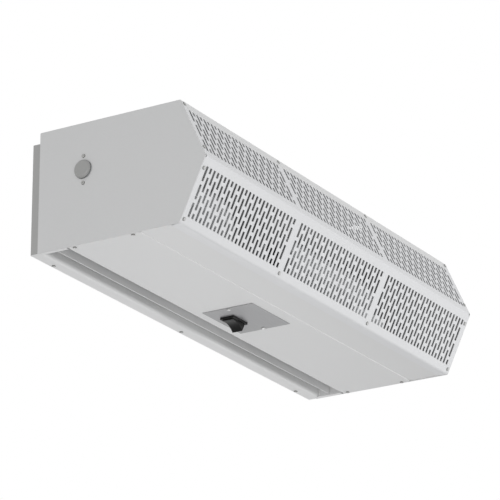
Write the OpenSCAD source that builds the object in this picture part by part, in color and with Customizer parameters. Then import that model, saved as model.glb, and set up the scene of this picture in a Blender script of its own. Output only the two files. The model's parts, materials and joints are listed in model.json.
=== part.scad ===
// Wall-hung air curtain: a folded steel cabinet with a V-shaped slotted intake at the front,
// two double-inlet blowers on one motor shaft, and a slot nozzle with a pivoting vane that blows
// down along the back of the underside.
// Cabinet places: X from mid-length, Y from the back of the cabinet (the wall is +Y),
// Z from the underside. in_row() moves them to the origin at the middle of the wall holes.

/* [Cabinet] */
// Length over the two end panels
cabinet_l = 914.4; // [820:0.1:1100]
// Height of the cabinet
cabinet_h = 215.9; // [212:0.1:232]
// Depth of the flat top and underside
flat_d = 279.4; // [268:0.1:300]
// Depth at the nose
nose_d = 329; // [318:0.1:345]
// Thickness of the painted cabinet sheet
sheet_t = 1.2; // [0.9:0.1:1.6]
// Reach of the flanges turned in on the end panels, from their outer faces
flange_w = 12; // [11:0.5:16]

/* [Mounting plate] */
// Depth of the shallow pan between the cabinet and the wall
tray_d = 15.2; // [12:0.1:20]
// Height of the pan
tray_h = 198; // [185:0.5:205]
// Thickness of the pan's sheet
tray_t = 1.5; // [1.2:0.1:2]
// Step from the end panel's face back to the pan's end
tray_inset = 2; // [1.5:0.5:6]
// Distance between wall holes along the length
bolt_span_x = 812.8; // [700:0.1:815]
// Distance between wall holes up the wall
bolt_span_z = 101.6; // [80:0.1:130]
// Radius of a wall hole
bolt_hole_r = 4.4; // [3:0.1:6]

/* [Intake grille] */
// Thickness of the slotted sheet
grille_t = 1; // [0.8:0.1:1.2]
// Width of a slot
slot_w = 5.8; // [4:0.1:6]
// Length of a full slot
slot_l = 25.4; // [20:0.1:28]
// Bar between two slots in line
slot_bar = 6.35; // [5:0.05:9]
// Distance between neighbouring columns of slots
slot_pitch = 11.1; // [9:0.1:14]
// Plain band between slotted sections, from column to column
rib_w = 23.6; // [18:0.1:40]
// End of the cabinet to the first column
first_column = 16.9; // [15:0.1:25]
// Least plain margin above and below the slots
slot_margin = 12; // [10:0.5:13]
// Width of the grille's return under the cabinet
return_w = 18; // [14:0.5:22]

/* [Nozzle] */
// Back of the cabinet to the nozzle's rear wall
nozzle_rear = 10; // [8:0.1:12]
// Back of the cabinet to the nozzle's front edge
nozzle_front = 57.5; // [54:0.1:64]
// Outer radius of the curved rear lip
lip_r = 6; // [3:0.1:7]
// Outer radius of the bend at the nozzle's front edge
front_lip_r = 3; // [1.6:0.1:4]
// Strip between the end panel's face and the nozzle's end plate
end_strip = 8.8; // [8:0.1:11]
// Height of the fan deck's underside above the underside of the cabinet
deck_z = 45; // [42:0.5:48]
// Chord of the vane
vane_chord = 34; // [28:0.5:36]
// Thickness of the vane at its pivot
vane_t = 4; // [3.8:0.1:5]
// Thickness of the vane's two edges
vane_edge_t = 2; // [1.4:0.1:3]
// Back of the cabinet to the vane's pivot
vane_y = 32.5; // [30:0.1:36]
// Height of the vane's bottom edge above the underside
vane_up = 1.8; // [1:0.1:4]

/* [Underside] */
// Back of the cabinet to the seam between the access panel and the front pan
seam_y = 202; // [196:0.5:212]
// Length of the control plate
control_l = 127; // [116:0.1:140]
// Width of the control plate
control_w = 101.6; // [96:0.1:106]
// Thickness of the control plate
control_t = 1; // [0.8:0.1:1.6]
// Mid-length of the cabinet to the middle of the control plate
control_x = -3; // [-40:0.5:40]
// Back of the cabinet to the middle of the control plate
control_y = 127.5; // [125:0.5:132]

/* [Switch] */
// Length of the switch bezel
bezel_l = 47; // [46.6:0.1:52]
// Width of the switch bezel
bezel_w = 28; // [27:0.1:32]
// Height of the bezel proud of the control plate
bezel_h = 4.1; // [2:0.1:5]
// Width of the rocker
rocker_w = 20.5; // [16:0.1:21]
// Tilt of the rocker from its middle position
rocker_tilt = 20; // [12:1:21]

/* [Fan] */
// Back of the cabinet to the fan axis
fan_y = 89; // [88:0.1:92]
// Underside to the fan axis
fan_z = 132.5; // [131:0.1:134]
// Radius of a blower wheel
wheel_r = 60; // [54:0.5:61]
// Width of a blower housing
scroll_w = 300; // [240:1:310]
// Middle of the cabinet to the near side of a blower housing
scroll_x = 100; // [95:1:110]
// Gap between the wheel and the housing's tongue
tongue_gap = 6; // [4:0.5:7]
// Count of blades on a wheel
blade_n = 36; // [24:1:48]
// Radius of the shaft
shaft_r = 6.35; // [5:0.05:8]
// Radius of the motor
motor_r = 42; // [36:0.5:44]
// Length of the motor's shell
motor_l = 110; // [90:1:112]

/* [End caps] */
// Radius of the round cap over the shaft end
cap_r = 16.5; // [15:0.1:19]
// Height of the cap proud of the end panel
cap_h = 6.3; // [4:0.1:9]
// Distance from the axis to each cap screw
cap_screw_r = 24.1; // [23:0.1:27]

/* [Hidden] */
$fn = 48;

// Overrun of every cut past the face that it opens
overrun = 1;
// Gap between the wrapped sheets and the end panels
side_gap = 0.2;
// Gap at the seams of the underside
seam_gap = 0.5;
// Radial running clearance of a shaft or pin in its bearing
running_gap = 0.05;
// Gap between a moving piece and a fixed piece beside it
moving_gap = 0.4;

half_l = cabinet_l / 2;
rise = cabinet_h / 2;
run = nose_d - flat_d;
slope_l = sqrt(rise * rise + run * run);
lean = atan2(run, rise);
wrap_l = cabinet_l - 2 * (sheet_t + side_gap);
tongue_l = cabinet_l - 2 * (flange_w + side_gap);
section_w = (cabinet_l - 2 * first_column - 2 * rib_w) / 3;

// Corners of the cabinet's outline, as Y and Z
rear_top = [0, cabinet_h];
front_top = [-flat_d, cabinet_h];
nose = [-nose_d, rise];
front_bottom = [-flat_d, 0];
// Normals that point into the cabinet
in_top = [0, -1];
in_upper = [cos(lean), -sin(lean)];
in_lower = [cos(lean), sin(lean)];
in_bottom = [0, 1];

// The place that lies d1 in from one face of a corner and d2 in from the other
function nook(corner, n1, n2, d1, d2) =
    let (k = n1 * n2) corner + ((d1 - k * d2) * n1 + (d2 - k * d1) * n2) / (1 - k * k);
// The place that lies v down the upper slope from the top, or up the lower slope from the
// bottom, and d in from the slope
function upper_at(v, d) = front_top + v * [-sin(lean), -cos(lean)] + d * in_upper;
function lower_at(v, d) = front_bottom + v * [-sin(lean), cos(lean)] + d * in_lower;

// Lap of the front pan over the access panel, and over the grille's return
pan_lap = 12;
// Half the gap left in the end flanges at the seam, and radius of the corner notches there
seam_relief = 3.2;
notch_r = 3;
// Gap between the ends of the grille's return and the end panels
return_relief = 3.6;

// Screws: radius and height of the head, radius of the shank, and clearances of its holes
head_r = 3.3;
head_h = 1.8;
shank_r = 1.9;
shank_l = 8;
hole_gap = 0.25;
thread_gap = 0.05;
head_edge_share = 0.45;
head_top_share = 0.7;

// Places of the screws that show
screw_end = 6.3;
grille_screw_end = 7.5;
grille_screw_low = 9;
grille_screw_high = 6;
grille_screw_nose = 20;
panel_screw_rear = 71;
panel_screw_front = 186;
lip_screw_x = 396;
lip_screw_y = 9.4;
top_screw_shares = [0.22, 0.78];
back_screw_end = 37;
back_screw_low = 70;
back_screw_top = 35.9;
back_screw_high = cabinet_h - back_screw_top;

module in_row() {
    translate([0, -tray_d, -tray_h / 2]) children();
}

module along_x(length) {
    rotate([90, 0, 90]) linear_extrude(length, center = true) children();
}

module both_ends() {
    children();
    mirror([1, 0, 0]) children();
}

// A pan-head screw whose head seats on z = 0 and whose shank runs down from it
module screw(length = shank_l) {
    rotate_extrude() polygon([
        [0, -length], [shank_r, -length], [shank_r, 0], [head_r, 0],
        [head_r, head_h * head_edge_share], [head_r * head_top_share, head_h], [0, head_h]
    ]);
}

module hole(radius, depth) {
    translate([0, 0, -depth]) cylinder(r = radius, h = depth + overrun);
}

// Children stand on the slope, their z axis out of it, at v up from the slope's lower edge
module on_upper(x, v) {
    translate([x, -nose_d, rise]) rotate([90 - lean, 0, 0]) translate([0, v, 0]) children();
}

module on_lower(x, v) {
    translate([x, -flat_d, 0]) rotate([90 + lean, 0, 0]) translate([0, v, 0]) children();
}

module on_underside(x, y, z = 0) {
    translate([x, -y, z]) rotate([180, 0, 0]) children();
}

// Screws of the grille: ends into the end panels, the middle ones into the cover and the pan
middle_screw_x = (section_w + rib_w) / 2;
module at_grille_end_screws() {
    for (side = [-1, 1]) {
        x = side * (half_l - grille_screw_end);
        on_lower(x, grille_screw_low) children();
        on_lower(x, slope_l - grille_screw_nose) children();
        on_upper(x, grille_screw_nose) children();
        on_upper(x, slope_l - grille_screw_high) children();
    }
}

module at_grille_middle_screws() {
    for (x = [-middle_screw_x, middle_screw_x]) {
        on_lower(x, grille_screw_low) children();
        on_upper(x, slope_l - grille_screw_high) children();
    }
}

module at_panel_screws() {
    for (side = [-1, 1], y = [panel_screw_rear, panel_screw_front])
        on_underside(side * (half_l - screw_end), y) children();
}

module at_top_screws() {
    for (side = [-1, 1], share = top_screw_shares)
        translate([side * (half_l - screw_end), -share * flat_d, cabinet_h]) children();
}

module at_back_screws() {
    for (side = [-1, 1], z = [back_screw_low, back_screw_high])
        translate([side * (half_l - back_screw_end), -sheet_t, z]) rotate([90, 0, 0]) children();
}

module at_lip_screws() {
    for (x = [-lip_screw_x, 0, lip_screw_x]) on_underside(x, -lip_screw_y) children();
}

module at_cap_screws() {
    both_ends() for (side = [-1, 1])
        translate([-half_l, -fan_y, fan_z + side * cap_screw_r]) rotate([0, -90, 0]) children();
}

// The shallow pan that is screwed to the wall, with its rim turned in against the cabinet
rim_w = 48;
tray_l = cabinet_l - 2 * tray_inset;
module mounting_plate() {
    color("darkgray") in_row() difference() {
        translate([-tray_l / 2, 0, sheet_t]) cube([tray_l, tray_d, tray_h - sheet_t]);
        translate([-tray_l / 2 + tray_t, tray_t, sheet_t + tray_t])
            cube([tray_l - 2 * tray_t, tray_d - 2 * tray_t, tray_h - sheet_t - 2 * tray_t]);
        translate([-tray_l / 2 + rim_w, -overrun, sheet_t + tray_t])
            cube([tray_l - 2 * rim_w, tray_t + 2 * overrun, tray_h - sheet_t - tray_t - rim_w / 2]);
        for (x = [-bolt_span_x, bolt_span_x] / 2, z = [-bolt_span_z, bolt_span_z] / 2)
            translate([x, tray_d + overrun, tray_h / 2 + z]) rotate([90, 0, 0])
                cylinder(r = bolt_hole_r, h = tray_t + 2 * overrun);
        at_lip_screws() hole(shank_r + thread_gap, shank_l);
        at_back_screws() hole(shank_r + thread_gap, shank_l);
    }
}

// An end panel: a flat sheet with flanges turned in behind the sheets that wrap the cabinet
corner_gap = 8;
module end_flanges() {
    in_t = sheet_t + sheet_t;
    in_g = grille_t + sheet_t;
    polygon([[-corner_gap, cabinet_h - sheet_t], [-flat_d + corner_gap, cabinet_h - sheet_t],
        [-flat_d + corner_gap, cabinet_h - in_t], [-corner_gap, cabinet_h - in_t]]);
    polygon([upper_at(corner_gap / 2, grille_t), nose_in(corner_gap, grille_t, 1),
        nose_in(corner_gap, in_g, 1), upper_at(corner_gap / 2, in_g)]);
    polygon([lower_at(corner_gap / 2, grille_t), nose_in(corner_gap, grille_t, -1),
        nose_in(corner_gap, in_g, -1), lower_at(corner_gap / 2, in_g)]);
    polygon([[-nozzle_front - corner_gap, sheet_t], [-seam_y + seam_relief, sheet_t],
        [-seam_y + seam_relief, in_t], [-nozzle_front - corner_gap, in_t]]);
    polygon([[-seam_y - seam_relief, in_t], [-pan_front, in_t],
        [-pan_front, in_t + sheet_t], [-seam_y - seam_relief, in_t + sheet_t]]);
    polygon([[-sheet_t, deck_z + corner_gap], [-sheet_t, cabinet_h - corner_gap],
        [-in_t, cabinet_h - corner_gap], [-in_t, deck_z + corner_gap]]);
}

// The place on a slope that lies v from the nose and d in; up is 1 above the nose, -1 below
function nose_in(v, d, up) =
    up > 0 ? upper_at(slope_l - v, d) : lower_at(slope_l - v, d);

module end_panel() {
    difference() {
        union() {
            translate([-half_l + sheet_t / 2, 0, 0]) along_x(sheet_t)
                polygon([[0, 0], rear_top, front_top, nose, front_bottom]);
            translate([-half_l + flange_w / 2, 0, 0]) along_x(flange_w) end_flanges();
        }
        translate([-half_l, -fan_y, fan_z]) rotate([0, 90, 0])
            translate([0, 0, -overrun]) cylinder(r = cap_r + side_gap, h = sheet_t + 2 * overrun);
        at_cap_screws() hole(shank_r + hole_gap, sheet_t + overrun);
        at_grille_end_screws() hole(shank_r + thread_gap, shank_l);
        at_panel_screws() hole(shank_r + thread_gap, shank_l);
        at_top_screws() hole(shank_r + thread_gap, shank_l);
    }
}

module left_end_panel() {
    color("lightgray") in_row() end_panel();
}

module right_end_panel() {
    color("lightgray") in_row() mirror([1, 0, 0]) end_panel();
}

// The top cover, with a flange down the upper slope behind the grille, and the wiring entry
slope_flange_w = 16;
entry_r = 11.1;
entry_x = 205;
pan_front = flat_d - return_w;
entry_y = (seam_y + pan_front) / 2;
module top_cover() {
    color("whitesmoke") in_row() difference() {
        union() {
            along_x(wrap_l) polygon([rear_top, nook(front_top, in_top, in_upper, 0, grille_t),
                nook(front_top, in_top, in_upper, sheet_t, grille_t), [0, cabinet_h - sheet_t]]);
            along_x(tongue_l) polygon([
                nook(front_top, in_top, in_upper, 0, grille_t),
                upper_at(slope_flange_w, grille_t), upper_at(slope_flange_w, grille_t + sheet_t),
                nook(front_top, in_top, in_upper, sheet_t, grille_t + sheet_t),
                nook(front_top, in_top, in_upper, 0, grille_t + sheet_t)
            ]);
        }
        translate([entry_x, -entry_y, cabinet_h]) hole(entry_r, sheet_t + overrun);
        at_top_screws() hole(shank_r + hole_gap, sheet_t + overrun);
        at_grille_middle_screws() hole(shank_r + thread_gap, shank_l);
    }
}

module back_panel() {
    color("lightgray") in_row() difference() {
        translate([-wrap_l / 2, -sheet_t, sheet_t])
            cube([wrap_l, sheet_t, cabinet_h - 2 * sheet_t]);
        at_back_screws() hole(shank_r + hole_gap, sheet_t + overrun);
    }
}

// The strip under the mounting plate that curves up into the nozzle as its rear wall
module lip_curve() {
    translate([-nozzle_rear + lip_r, lip_r]) intersection() {
        difference() {
            circle(lip_r);
            circle(lip_r - sheet_t);
        }
        translate([-lip_r, -lip_r]) square(lip_r);
    }
    translate([-nozzle_rear + lip_r, 0]) square(sheet_t);
}

module rear_lip() {
    strip_d = tray_d + nozzle_rear - lip_r;
    color("whitesmoke") in_row() difference() {
        union() {
            translate([-tray_l / 2, -nozzle_rear + lip_r, 0]) cube([tray_l, strip_d, sheet_t]);
            along_x(cabinet_l - 2 * end_strip - 2 * side_gap) {
                lip_curve();
                translate([-nozzle_rear, lip_r]) square([sheet_t, deck_z - lip_r]);
            }
        }
        at_lip_screws() hole(shank_r + hole_gap, sheet_t + overrun);
    }
}

// Slots: columns of full slots alternate with columns set half a period down
column_n = floor(section_w / slot_pitch) + 1;
slot_period = slot_l + slot_bar;
slot_rows = floor((slope_l - 2 * slot_margin + slot_bar) / slot_period);
slot_zone = slot_rows * slot_period - slot_bar;
short_slot = (slot_l - slot_bar) / 2;

module slot(x, v, length) {
    translate([x - slot_w / 2, v]) square([slot_w, length]);
}

module slot_pattern() {
    low = (slope_l - slot_zone) / 2;
    for (section = [-1:1], column = [0:column_n - 1]) {
        x = section * (section_w + rib_w) + (column - (column_n - 1) / 2) * slot_pitch;
        if (column % 2 == 0) {
            for (row = [0:slot_rows - 1]) slot(x, low + row * slot_period, slot_l);
        } else {
            slot(x, low, short_slot);
            slot(x, low + slot_zone - short_slot, short_slot);
            for (row = [0:slot_rows - 2])
                slot(x, low + short_slot + slot_bar + row * slot_period, slot_l);
        }
    }
}

module slot_cut() {
    translate([0, 0, -grille_t - overrun]) linear_extrude(grille_t + 2 * overrun) slot_pattern();
}

// One sheet, bent at the nose and returned under the cabinet
module intake_grille() {
    color("white") in_row() difference() {
        union() {
            along_x(wrap_l) polygon([
                front_top, nose, front_bottom,
                nook(front_bottom, in_lower, in_bottom, grille_t, 0),
                nook(nose, in_upper, in_lower, grille_t, grille_t),
                nook(front_top, in_top, in_upper, 0, grille_t)
            ]);
            along_x(wrap_l - 2 * return_relief) polygon([
                front_bottom, front_bottom + [return_w, 0],
                front_bottom + [return_w, grille_t],
                nook(front_bottom, in_lower, in_bottom, 0, grille_t)
            ]);
        }
        both_ends() translate([wrap_l / 2, -nose_d, rise]) rotate([90, 0, 0])
            cylinder(r = notch_r, h = 2 * notch_r + grille_t, center = true);
        on_upper(0, 0) slot_cut();
        on_lower(0, 0) slot_cut();
        at_grille_end_screws() hole(shank_r + hole_gap, grille_t + overrun);
        at_grille_middle_screws() hole(shank_r + hole_gap, grille_t + overrun);
    }
}

// The access panel: its rear edge turns up as the nozzle's front lip
front_lip_h = 20;
control_margin_x = 12;
control_margin_y = 13;
control_screw_in = 5.6;
module at_control_screws() {
    for (side = [-1, 1])
        on_underside(control_x + side * (control_l / 2 - control_screw_in), control_y,
            -control_t) children();
}

module at_seam_notches() {
    both_ends() translate([wrap_l / 2, -seam_y, 0]) children();
}

module bottom_panel() {
    opening_l = control_l - 2 * control_margin_x;
    opening_w = control_w - 2 * control_margin_y;
    lip_l = cabinet_l - 2 * (end_strip + side_gap);
    color("whitesmoke") in_row() difference() {
        union() {
            difference() {
                translate([-wrap_l / 2, -seam_y, 0])
                    cube([wrap_l, seam_y - nozzle_front, sheet_t]);
                translate([-lip_l / 2, -nozzle_front - front_lip_r, -overrun])
                    cube([lip_l, front_lip_r + overrun, sheet_t + 2 * overrun]);
            }
            along_x(lip_l) {
                translate([-nozzle_front - front_lip_r, front_lip_r]) intersection() {
                    difference() {
                        circle(front_lip_r);
                        circle(front_lip_r - sheet_t);
                    }
                    translate([0, -front_lip_r]) square(front_lip_r);
                }
                translate([-nozzle_front - front_lip_r - sheet_t, 0]) square(sheet_t);
                translate([-nozzle_front - sheet_t, front_lip_r])
                    square([sheet_t, front_lip_h - front_lip_r]);
            }
        }
        translate([control_x - opening_l / 2, -control_y - opening_w / 2, -overrun])
            cube([opening_l, opening_w, sheet_t + 2 * overrun]);
        at_seam_notches() cylinder(r = notch_r, h = pan_lap, center = true);
        at_panel_screws() hole(shank_r + hole_gap, sheet_t + overrun);
        at_control_screws() hole(shank_r + thread_gap, shank_l);
    }
}

// The front pan: one sheet up from the underside, lapped at the rear by the access panel and
// in front by the grille's return, and turned up behind the lower slope
module front_pan() {
    color("whitesmoke") in_row() difference() {
        union() {
            translate([-wrap_l / 2, -pan_front, sheet_t])
                cube([wrap_l, pan_front - seam_y, sheet_t]);
            translate([-tongue_l / 2, -seam_y - pan_lap, sheet_t])
                cube([tongue_l, 2 * pan_lap, sheet_t]);
            along_x(tongue_l) polygon([
                [-pan_front + pan_lap, sheet_t],
                nook(front_bottom, in_lower, in_bottom, grille_t, sheet_t),
                lower_at(slope_flange_w, grille_t), lower_at(slope_flange_w, grille_t + sheet_t),
                nook(front_bottom, in_lower, in_bottom, grille_t + sheet_t, 2 * sheet_t),
                [-pan_front + pan_lap, 2 * sheet_t]
            ]);
        }
        at_seam_notches() cylinder(r = notch_r, h = pan_lap, center = true);
        at_grille_middle_screws() hole(shank_r + thread_gap, shank_l);
    }
}

// The sheet behind the access panel's lip that carries the nozzle up to the deck
wall_flange_w = 12;
module nozzle_front_wall() {
    wall_y = nozzle_front + sheet_t + side_gap;
    wall_l = cabinet_l - 2 * (end_strip + side_gap);
    color("silver") in_row() {
        translate([-wall_l / 2, -wall_y - sheet_t, front_lip_r])
            cube([wall_l, sheet_t, deck_z - front_lip_r]);
        translate([-wall_l / 2, -wall_y - wall_flange_w, deck_z - sheet_t])
            cube([wall_l, wall_flange_w, sheet_t]);
    }
}

// An end plate of the nozzle: it carries the vane's pivot and its foot meets the end panel
pin_r = 1.6;
vane_z = vane_up + vane_chord / 2;
module nozzle_end() {
    wall_rear = nozzle_rear - sheet_t;
    color("whitesmoke") difference() {
        union() {
            translate([-half_l + end_strip - sheet_t, -nozzle_front + seam_gap, 0])
                cube([sheet_t, nozzle_front - seam_gap - wall_rear, deck_z]);
            translate([-half_l + end_strip - sheet_t, -nozzle_front - 2 * sheet_t,
                    sheet_t + seam_gap])
                cube([sheet_t, seam_gap + 3 * sheet_t, deck_z - sheet_t - seam_gap]);
            translate([-half_l + sheet_t + side_gap, -nozzle_front + seam_gap, 0])
                cube([end_strip - sheet_t - side_gap,
                    nozzle_front - seam_gap - nozzle_rear + lip_r - seam_gap, sheet_t]);
        }
        translate([-half_l + end_strip - sheet_t, -vane_y, vane_z]) rotate([0, 90, 0])
            translate([0, 0, -overrun])
                cylinder(r = pin_r + running_gap, h = sheet_t + 2 * overrun);
    }
}

module left_nozzle_end() {
    in_row() nozzle_end();
}

module right_nozzle_end() {
    in_row() mirror([1, 0, 0]) nozzle_end();
}

// The vane: a blade, thickest along the middle, on two pins that turn in the nozzle's end plates
vane_end_gap = 1;
washer_t = 0.6;
washer_r = 4.5;
pin_in = 14;
pin_head_r = 3;
pin_head_h = 1.5;
vane_half = half_l - end_strip - vane_end_gap;

module at_vane_end() {
    translate([-vane_half, -vane_y, vane_z]) rotate([0, 90, 0]) children();
}

module air_vane() {
    color("gainsboro") in_row() difference() {
        translate([0, -vane_y, vane_z]) along_x(2 * vane_half) hull() {
            circle(vane_t / 2);
            for (side = [-1, 1]) translate([0, side * (vane_chord - vane_edge_t) / 2])
                circle(vane_edge_t / 2);
        }
        both_ends() at_vane_end() translate([0, 0, -overrun])
            cylinder(r = pin_r + running_gap, h = pin_in + overrun + moving_gap);
    }
}

module vane_pivots() {
    pin_out = vane_end_gap + sheet_t + moving_gap;
    color("silver") in_row() both_ends() at_vane_end() {
        translate([0, 0, -pin_out - pin_head_h])
            cylinder(r = pin_r, h = pin_head_h + pin_out + pin_in);
        translate([0, 0, -pin_out - pin_head_h]) cylinder(r = pin_head_r, h = pin_head_h);
    }
}

module vane_washers() {
    color("white") in_row() both_ends() at_vane_end() translate([0, 0, -washer_t])
        difference() {
            cylinder(r = washer_r, h = washer_t);
            translate([0, 0, -overrun])
                cylinder(r = pin_r + running_gap, h = washer_t + 2 * overrun);
        }
}

// The deck that carries the blowers and closes the nozzle's chamber
deck_d = 135;
deck_flange_h = 12;
deck_l = cabinet_l - 2 * (sheet_t + side_gap);
module fan_deck() {
    rear = 2 * sheet_t + side_gap;
    color("silver") in_row() difference() {
        union() {
            translate([-deck_l / 2, -deck_d, deck_z]) cube([deck_l, deck_d - rear, sheet_t]);
            translate([-deck_l / 2, -deck_d, deck_z]) cube([deck_l, sheet_t, deck_flange_h]);
            for (side = [-1, 1])
                translate([side * (deck_l - sheet_t) / 2 - sheet_t / 2, -deck_d, deck_z])
                    cube([sheet_t, deck_d - rear, deck_flange_h / 2]);
        }
        both_ends() translate([scroll_x + scroll_t, -nozzle_front, deck_z - overrun])
            cube([scroll_w - 2 * scroll_t, nozzle_front - nozzle_rear, sheet_t + 2 * overrun]);
    }
}

// Blower housings: the wrap's radius grows from the tongue round to the rear wall
scroll_t = 1;
scroll_n = 26;
scroll_foot = 8;
fan_rear_r = fan_y - nozzle_rear;
tongue_r = wheel_r + tongue_gap;
tongue_dy = fan_y - nozzle_front;
tongue_a = asin(tongue_dy / tongue_r) - 90;
scroll_base = deck_z + sheet_t;

function scroll_r(share) = tongue_r + (fan_rear_r - tongue_r) * share;
function scroll_place(share, more) =
    let (a = tongue_a - (360 + tongue_a) * share, r = scroll_r(share) + more)
    [-fan_y + r * cos(a), fan_z + r * sin(a)];

module scroll_area(more) {
    polygon([for (i = [0:scroll_n]) scroll_place(i / scroll_n, more)]);
    translate([-nozzle_front - more, scroll_base])
        square([nozzle_front - nozzle_rear + 2 * more, fan_z - scroll_base]);
}

module scroll_room() {
    scroll_area(0);
    translate([-nozzle_front, scroll_base - overrun])
        square([nozzle_front - nozzle_rear, 2 * overrun]);
}

module scroll_wrap() {
    color("lightsteelblue") {
        translate([scroll_x + scroll_w / 2, 0, 0]) along_x(scroll_w - 2 * scroll_t)
            difference() {
                scroll_area(scroll_t);
                scroll_room();
            }
        translate([scroll_x + scroll_t, -nozzle_front - scroll_t - scroll_foot, scroll_base])
            cube([scroll_w - 2 * scroll_t, scroll_foot + scroll_t, scroll_t]);
    }
}

module scroll_sides() {
    color("lightsteelblue")
        for (x = [scroll_x + scroll_t / 2, scroll_x + scroll_w - scroll_t / 2])
            translate([x, 0, 0]) along_x(scroll_t) difference() {
                scroll_area(scroll_t);
                translate([-fan_y, fan_z]) circle(throat_r);
            }
}

module left_scroll_wrap() {
    in_row() mirror([1, 0, 0]) scroll_wrap();
}

module right_scroll_wrap() {
    in_row() scroll_wrap();
}

module left_scroll_sides() {
    in_row() mirror([1, 0, 0]) scroll_sides();
}

module right_scroll_sides() {
    in_row() scroll_sides();
}

// Bell mouths on the housings' inlets
blade_d = 10;
ring_lap = 3;
throat_r = wheel_r - blade_d - ring_lap;
flare_r = 7;
ring_t = 1;
module inlet_ring() {
    rotate_extrude() translate([throat_r + flare_r, 0]) intersection() {
        difference() {
            circle(flare_r);
            circle(flare_r - ring_t);
        }
        translate([-flare_r, 0]) square(flare_r);
    }
}

module inlet_rings() {
    color("silver") in_row() both_ends() {
        translate([scroll_x + scroll_w, -fan_y, fan_z]) rotate([0, 90, 0]) inlet_ring();
        translate([scroll_x, -fan_y, fan_z]) rotate([0, -90, 0]) inlet_ring();
    }
}

// Blower wheels: forward-curved blades between end rings, on a disc and hub at mid-width
wheel_gap = 6;
wheel_t = 1.5;
blade_t = 0.8;
blade_curve_share = 0.75;
hub_r = 14;
hub_l = 24;
wheel_l = scroll_w - 2 * (scroll_t + wheel_gap);

module blade() {
    curve_r = blade_d * blade_curve_share;
    translate([wheel_r - blade_d / 2, 0]) intersection() {
        translate([0, -curve_r / 2]) difference() {
            circle(curve_r);
            circle(curve_r - blade_t);
        }
        translate([-blade_d / 2, 0]) square([blade_d - wheel_t / 2, blade_d]);
    }
}

module blower_wheel() {
    color("silver") translate([scroll_x + scroll_w / 2, -fan_y, fan_z]) rotate([0, 90, 0]) {
        linear_extrude(wheel_l, center = true)
            for (i = [0:blade_n - 1]) rotate(i * 360 / blade_n) blade();
        for (side = [-1, 1]) translate([0, 0, side * (wheel_l - wheel_t) / 2])
            linear_extrude(wheel_t, center = true) difference() {
                circle(wheel_r);
                circle(wheel_r - blade_d);
            }
        difference() {
            union() {
                cylinder(r = wheel_r - wheel_t / 2, h = wheel_t, center = true);
                cylinder(r = hub_r, h = hub_l, center = true);
            }
            cylinder(r = shaft_r + running_gap, h = hub_l + overrun, center = true);
        }
    }
}

module left_blower_wheel() {
    in_row() mirror([1, 0, 0]) blower_wheel();
}

module right_blower_wheel() {
    in_row() blower_wheel();
}

// The shaft runs through the motor and both wheels to a bearing on each end panel
shaft_end = 3;
module fan_shaft() {
    color("dimgray") in_row() translate([0, -fan_y, fan_z]) rotate([0, 90, 0])
        cylinder(r = shaft_r, h = 2 * (half_l - shaft_end), center = true);
}

// The motor: a rolled shell round the stator, with cast end bells that hold its bearings
shell_t = 1.2;
bell_h = 8;
boss_r = 14;
boss_h = 8;
stator_l = 76;
air_gap = 0.5;
rotor_r = 22;
module on_axis(x) {
    translate([x, -fan_y, fan_z]) rotate([0, 90, 0]) children();
}

module motor_shell() {
    color("dimgray") in_row() on_axis(0) difference() {
        cylinder(r = motor_r, h = motor_l, center = true);
        cylinder(r = motor_r - shell_t, h = motor_l + overrun, center = true);
    }
}

module motor_end_bells() {
    color("slategray") in_row() both_ends() on_axis(motor_l / 2) difference() {
        union() {
            cylinder(r = motor_r, h = bell_h);
            cylinder(r = boss_r, h = bell_h + boss_h);
        }
        translate([0, 0, -overrun])
            cylinder(r = shaft_r + running_gap, h = bell_h + boss_h + 2 * overrun);
    }
}

module motor_stator() {
    color("sienna") in_row() on_axis(0) difference() {
        cylinder(r = motor_r - shell_t - running_gap, h = stator_l, center = true);
        cylinder(r = rotor_r + air_gap, h = stator_l + overrun, center = true);
    }
}

module motor_rotor() {
    color("gray") in_row() on_axis(0) difference() {
        cylinder(r = rotor_r, h = stator_l, center = true);
        cylinder(r = shaft_r + running_gap, h = stator_l + overrun, center = true);
    }
}

// Rubber rings on the bosses of the bells, held in the uprights of a cradle on the deck
mount_ring_r = 22;
mount_ring_l = 6;
upright_t = 3;
cradle_d = 80;
cradle_top = 12;
module motor_mount_rings() {
    color("black") in_row() both_ends() on_axis(motor_l / 2 + bell_h + side_gap) difference() {
        cylinder(r = mount_ring_r, h = mount_ring_l);
        translate([0, 0, -overrun])
            cylinder(r = boss_r + running_gap, h = mount_ring_l + 2 * overrun);
    }
}

module motor_cradle() {
    upright_x = motor_l / 2 + bell_h + side_gap + (mount_ring_l - upright_t) / 2;
    base_l = 2 * (upright_x + upright_t);
    color("gray") in_row() {
        translate([-base_l / 2, -fan_y - cradle_d / 2, scroll_base])
            cube([base_l, cradle_d, upright_t]);
        both_ends() translate([upright_x + upright_t / 2, 0, 0]) along_x(upright_t) difference() {
            polygon([
                [-fan_y - cradle_d / 2, scroll_base], [-fan_y + cradle_d / 2, scroll_base],
                [-fan_y + mount_ring_r + cradle_top, fan_z + mount_ring_r + cradle_top],
                [-fan_y - mount_ring_r - cradle_top, fan_z + mount_ring_r + cradle_top]
            ]);
            translate([-fan_y, fan_z]) circle(mount_ring_r + running_gap);
        }
    }
}

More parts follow.
